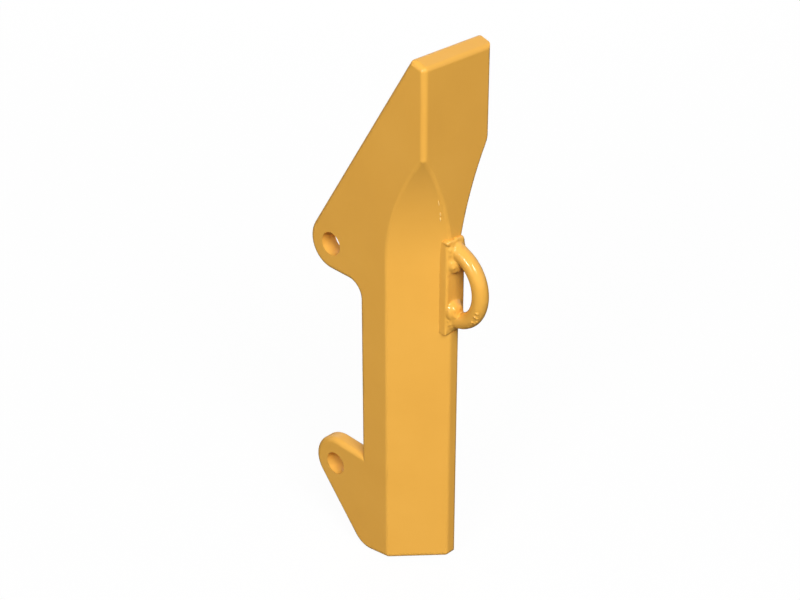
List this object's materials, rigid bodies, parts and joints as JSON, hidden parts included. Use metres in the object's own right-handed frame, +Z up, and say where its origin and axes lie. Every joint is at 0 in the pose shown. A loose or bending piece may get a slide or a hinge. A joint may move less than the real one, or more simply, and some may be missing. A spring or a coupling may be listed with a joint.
{
  "type": "bucket side bar protector",
  "caption": "Cast steel guard bolted over the front edge of a loader or excavator bucket's side plate, with a welded lifting eye.",
  "frame": {"origin": "centre of the upper bolt hole, on the flange's inner face that lies against the bucket's side plate", "axes": "+X out of the flange's inner face, towards the bucket; +Y back from the wear face, towards the bucket; +Z up along the protector"},
  "size_m": [0.1, 0.2105, 0.6159],
  "materials": {
    "yellow_paint": "satin paint over a cast surface"
  },
  "bodies": {
    "root": {"protector_body": "yellow_paint", "lifting_eye_plate": "yellow_paint", "lifting_eye_ring": "yellow_paint"}
  },
  "joints": []
}
